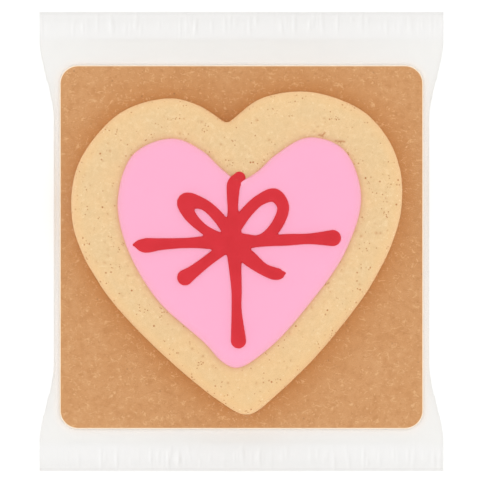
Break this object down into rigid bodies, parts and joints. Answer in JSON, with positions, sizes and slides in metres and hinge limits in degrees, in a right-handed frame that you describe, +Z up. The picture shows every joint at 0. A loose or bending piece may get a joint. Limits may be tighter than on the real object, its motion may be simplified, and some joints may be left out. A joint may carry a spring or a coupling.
{
  "type": "wrapped iced sugar cookie",
  "caption": "Heart-shaped sugar cookie with pink icing and a piped red bow, lying on a kraft card in a sealed clear film sleeve.",
  "frame": {"origin": "middle of the pack's underside, where the back of the film rests on the surface", "axes": "+Z up through the icing, +Y along the pack towards the heart's lobes, +X to the right when the icing faces the viewer with the lobes at the top"},
  "size_m": [0.123, 0.1398, 0.0143],
  "materials": {
    "film": "clear, with fine crimped end seals",
    "kraft_card": "matte brown kraft board",
    "biscuit": "matte, pale baked dough with fine pores",
    "pink_icing": "smooth satin icing",
    "red_icing": "smooth satin piped icing"
  },
  "bodies": {
    "root": {"film_sleeve": "film", "card": "kraft_card", "biscuit": "biscuit", "pink_icing": "pink_icing", "red_bow": "red_icing"}
  },
  "joints": []
}
